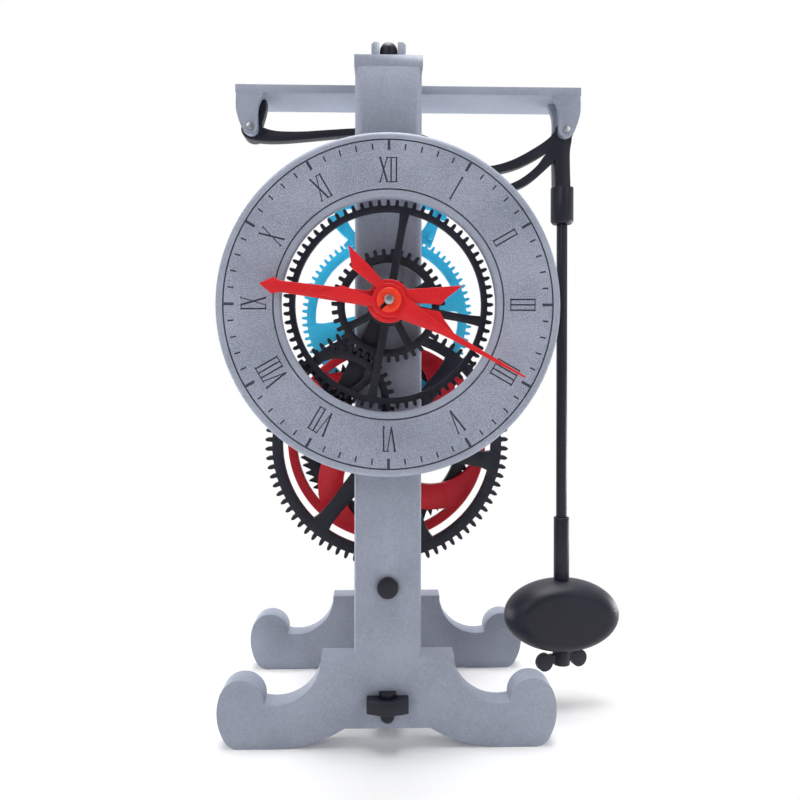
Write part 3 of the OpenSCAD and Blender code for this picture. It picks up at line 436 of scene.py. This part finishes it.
# %% Numerals
NUMERALS = ["XII", "I", "II", "III", "IIII", "V", "VI", "VII", "VIII", "IX", "X", "XI"]
LETTER_FOOT, LETTER_TOP = 41.2 * MM, 49.4 * MM
THIN, MIDDLING, THICK = 0.36 * MM, 0.5 * MM, 0.62 * MM
OVERHANG = 0.42 * MM
LETTER_W = {"I": 1.8 * MM, "V": 3.3 * MM, "X": 3.2 * MM}
V_REACH, X_REACH = 1.25 * MM, 1.2 * MM
LEGS = {"I": [(0, 0, MIDDLING)],
        "V": [(-V_REACH, 0, THICK), (V_REACH, 0, THIN)],
        "X": [(-X_REACH, X_REACH, THICK), (X_REACH, -X_REACH, THIN)]}


def serif(shape, ends, height, turn):
    """Joins strokes that end at one height. ends holds (place, letter's number), from the left."""
    start = ends[0][0]
    for (place, number), following in zip(ends, ends[1:] + [None]):
        if following is None or following[1] == number:
            stroke(shape, start - OVERHANG, height, place + OVERHANG, height, THIN, turn)
            start = following[0] if following else None


for hour, numeral in enumerate(NUMERALS):
    turn = math.radians(30 * hour)
    left = -sum(LETTER_W[letter] for letter in numeral) / 2
    tops, feet = [], []
    for number, letter in enumerate(numeral):
        middle = left + LETTER_W[letter] / 2
        for top, foot, width in LEGS[letter]:
            stroke(marks, middle + top, LETTER_TOP, middle + foot, LETTER_FOOT, width, turn)
            tops.append((middle + top, number))
            if letter != "V":
                feet.append((middle + foot, number))
        left += LETTER_W[letter]
    serif(marks, tops, LETTER_TOP, turn)
    if feet:
        serif(marks, sorted(feet), LETTER_FOOT, turn)
print("strokes to cut:", len(marks.verts) // 8)

# %% Cut the marks out of the ring
dial_ring.data.materials[0] = dial_finish
# The faces that the cut makes take the painted groove shade.
cut_out(dial_ring, marks, groove_shade_finish)
print("dial faces after the cut:", len(dial_ring.data.polygons))

# %% [markdown]
# Only the dial's face is sandy. The two lips outside the engraved circles are smooth and look a
# little lighter, and the circles get the same painted groove shade as the numerals. Each face of the mesh
# knows how far it lies from the dial's centre, so its finish follows from that distance.

# %% Smooth lips and circles with painted groove shade
SANDY, GROOVE_SHADE, SMOOTH = range(3)
BELOW_FACE, BELOW_CUT = 0.01 * MM, 0.5 * MM
dial_ring.data.materials.append(finishes["grey_plastic"])
for face in dial_ring.data.polygons:
    reach = math.hypot(face.center.x - dial_centre.x, face.center.z - dial_centre.z)
    off_line = min(abs(reach - inner_line), abs(reach - outer_line))
    # Faces down in the two engraved circles get the painted groove shade.
    if off_line < 0.55 * LINE_W and BELOW_FACE < face.center.y - dial_front < BELOW_CUT:
        face.material_index = GROOVE_SHADE
    elif face.material_index == SANDY and not inner_line < reach < outer_line:
        face.material_index = SMOOTH
print("the dial's finishes:", [material.name for material in dial_ring.data.materials])

# %% [markdown]
# ## The bob
# The bob is an oval pebble in two halves, with a flat face and a rim that rolls away from it. Each
# half starts as a short round drum. One bevel rolls its rim over nearly the drum's whole height, and
# a scale then makes the drum oval, so the roll-off is wide at the sides and short above and below.
# The bob hangs on a round rod, so it is free to turn a little, and it hangs five degrees out of line.

# %% The bob's two halves
BOB_W, BOB_H, BOB_HALF_T = 47.8 * MM, 29.2 * MM, 9.0 * MM
BOB_TURN = math.radians(5)
BOB_CENTRE = Vector((72.0 * MM, -6.4 * MM, 37.3 * MM))
ROLL = 0.35


def bob_half(name, side):
    """side is -1 for the half that faces the front and 1 for the other."""
    shape = bmesh.new()
    bmesh.ops.create_cone(shape, cap_ends=True, segments=120, radius1=1, radius2=1, depth=ROLL)
    face_edges = [edge for edge in shape.edges if all(vert.co.z > 0 for vert in edge.verts)]
    bmesh.ops.bevel(shape, geom=face_edges, offset=ROLL * 0.97, offset_type="OFFSET", segments=12,
                    profile=0.5, affect="EDGES", material=-1)
    bmesh.ops.translate(shape, verts=shape.verts, vec=(0, 0, ROLL / 2))
    put_in_place = (Matrix.Translation(BOB_CENTRE)
                    @ Matrix.Rotation(BOB_TURN, 4, "Z")
                    @ Matrix.Diagonal((BOB_W / 2, BOB_HALF_T / ROLL, BOB_H / 2, 1))
                    @ Matrix.Rotation(math.radians(-90 * side), 4, "X"))
    bmesh.ops.transform(shape, matrix=put_in_place, verts=shape.verts)
    bmesh.ops.recalc_face_normals(shape, faces=shape.faces)
    piece = piece_from(name, shape, "black_plastic", "bob")
    seam = piece.modifiers.new("seam", "BEVEL")
    seam.width = 0.15 * MM
    seam.segments = 2
    seam.limit_method = "ANGLE"
    seam.angle_limit = math.radians(50)
    return piece


bob_face = bob_half("bob_face", -1)
bob_rear = bob_half("bob_rear", 1)
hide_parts("bob_front")
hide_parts("bob_back")
print("bob width in mm:", round(BOB_W / MM, 1))

# %% [markdown]
# ## The socket screws
# Two domed screws hold the bar's spine on the pillars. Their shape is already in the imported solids,
# so the quickest way is a copy of them with a six-sided socket cut into each head.

# %% The sockets in the screws' heads
SOCKET_R, SOCKET_DEPTH = 1.45 * MM, 1.3 * MM
screws_low, screws_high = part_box("top_screws")
head_r = (screws_high.x - screws_low.x) / 2
sockets = bmesh.new()
for y in (screws_low.y + head_r, screws_high.y - head_r):
    six_sided = bmesh.ops.create_cone(sockets, cap_ends=True, segments=6, radius1=SOCKET_R,
                                      radius2=SOCKET_R, depth=2 * SOCKET_DEPTH)["verts"]
    bmesh.ops.translate(sockets, verts=six_sided, vec=(screws_low.x + head_r, y, screws_high.z))
screw_slot = slot_of["top_screws"]
socket_screws = piece_from("socket_screws", copy_of("top_screws"), screw_slot, "stand")
cut_out(socket_screws, sockets, finishes[screw_slot])
soften(socket_screws, 0.1 * MM)
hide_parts("top_screws")
print("screw heads in mm:", round(2 * head_r / MM, 1))

# %% [markdown]
# ## The minute wheel's arm
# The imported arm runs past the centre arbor, to a second peg in the pillar. On the real clock that end
# is out of sight, so the copy here stops at its hub. Cutting the copy with a plane is the short way:
# everything beyond the plane goes, and one face closes the cut.

# %% The arm, cut off behind its hub
HUB_REACH = 6.2 * MM
CENTRE_Z = 161.5 * MM
post_low, post_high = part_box("minute_post")
post_place = (post_low + post_high) / 2
hub_place = Vector((0, post_place.y, CENTRE_Z))
arm_way = (post_place - hub_place).normalized()
arm = copy_of("minute_arm")
cut_geometry = bmesh.ops.bisect_plane(arm, geom=arm.verts[:] + arm.edges[:] + arm.faces[:],
                                      dist=0.0001 * MM, plane_co=hub_place - arm_way * HUB_REACH,
                                      plane_no=arm_way, clear_inner=True)["geom_cut"]
cut_edges = [part for part in cut_geometry if isinstance(part, bmesh.types.BMEdge)]
bmesh.ops.holes_fill(arm, edges=cut_edges, sides=0)
open_edges = sum(not edge.is_manifold for edge in arm.edges)
short_arm = piece_from("short_arm", arm, slot_of["minute_arm"], "stand")
soften(short_arm, SOFT_EDGE)
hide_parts("minute_arm")
print("open edges on the arm:", open_edges)

# %% [markdown]
# ## Floor, lamps and background
# The clock stands on a plain white table in even light. The floor keeps a soft shadow near the feet
# and turns into pure white further out, so no horizon shows. Only the camera and reflections see
# that white, so it doesn't brighten the matt plastic.

# %% Floor
floor_mesh = bmesh.new()
bmesh.ops.create_grid(floor_mesh, x_segments=1, y_segments=1, size=3.0)
bmesh.ops.translate(floor_mesh, verts=floor_mesh.verts, vec=(0, 0, -0.02 * MM))
floor_data = bpy.data.meshes.new("floor")
floor_mesh.to_mesh(floor_data)
floor_mesh.free()
floor = bpy.data.objects.new("floor", floor_data)
bpy.context.scene.collection.objects.link(floor)
table = Finish(bpy.data.materials.new("white floor"))
from_middle = table.node("ShaderNodeVectorMath", {"operation": "LENGTH"},
                         {0: table.node("ShaderNodeTexCoord", output="Object")}, output="Value")
far = table.stretched(from_middle, 0.04, 0.13, kind="SMOOTHSTEP")
matt = table.node("ShaderNodeBsdfDiffuse", {}, {"Color": (0.94, 0.94, 0.94, 1)})
glow = table.node("ShaderNodeEmission", {}, {"Color": (1, 1, 1, 1), "Strength": 1.0})
seen = table.node("ShaderNodeLightPath", output="Is Camera Ray")
mirrored = table.node("ShaderNodeLightPath", output="Is Glossy Ray")
shown = table.node("ShaderNodeMath", {"operation": "MAXIMUM"}, {0: seen, 1: mirrored})
table.node("ShaderNodeOutputMaterial", {},
           {0: table.node("ShaderNodeMixShader", {}, {0: far * shown, 1: matt, 2: glow})})
floor.data.materials.append(table.owner)
print("floor size in m:", round(floor.dimensions.x, 1))

# %% [markdown]
# Most light comes from above and off the white table. Two weaker lamps stand at the front. Two small
# ones lie low behind the clock and point up at its top, for the bar's underside. Each lamp is a
# disk, because a wide source gives soft shadows.

# %% Lamps
LAMPS = {"lamp_left": ((-0.6, -0.9, 0.7), (0, 0, 0.12), 0.5, 2.7),
         "lamp_right": ((0.7, -0.8, 0.6), (0, 0, 0.12), 0.5, 1.8),
         "lamp_above": ((0.0, 0.0, 1.1), (0, 0, 0.1), 0.7, 15),
         "lamp_low_left": ((-0.34, 0.16, 0.01), (0, 0, 0.24), 0.2, 1.2),
         "lamp_low_right": ((0.36, 0.16, 0.01), (0, 0, 0.24), 0.2, 1.2)}
for name, (place, aim, size, power) in LAMPS.items():
    data = bpy.data.lights.new(name, "AREA")
    data.shape = "DISK"
    data.size = size
    data.energy = power
    lamp = bpy.data.objects.new(name, data)
    bpy.context.scene.collection.objects.link(lamp)
    lamp.location = place
    lamp.rotation_euler = (Vector(aim) - Vector(place)).to_track_quat("-Z", "Y").to_euler()
    lamp.visible_camera = False
print("lamps:", len(LAMPS))

# %% [markdown]
# The sky gives the rest of the light, and more of it comes from behind the clock than from the
# front. The camera sees the sky as plain white, and a reflection does so where it shows the side
# behind the clock.

# %% Sky
world = bpy.data.worlds.new("sky")
bpy.context.scene.world = world
sky = Finish(world)
direction = sky.node("ShaderNodeTexCoord", output="Generated")
towards_back = sky.node("ShaderNodeSeparateXYZ", {}, {0: direction}, output="Y")
level = sky.stretched(towards_back, -0.3, 0.5, 0.12, 0.65)
soft = sky.node("ShaderNodeBackground", {}, {"Color": (0.95, 0.97, 1.0, 1), "Strength": level})
white = sky.node("ShaderNodeBackground", {}, {"Color": (1, 1, 1, 1), "Strength": 1.0})
seen = sky.node("ShaderNodeLightPath", output="Is Camera Ray")
mirrored = sky.node("ShaderNodeLightPath", output="Is Glossy Ray")
behind = sky.stretched(towards_back, -0.6, 0.2)
shown = sky.node("ShaderNodeMath", {"operation": "MAXIMUM"}, {0: seen, 1: mirrored * behind})
sky.node("ShaderNodeOutputWorld", {},
         {0: sky.node("ShaderNodeMixShader", {}, {0: shown, 1: soft, 2: white})})
bpy.context.scene.view_settings.view_transform = "Standard"
print("sky nodes:", len(sky.tree.nodes))
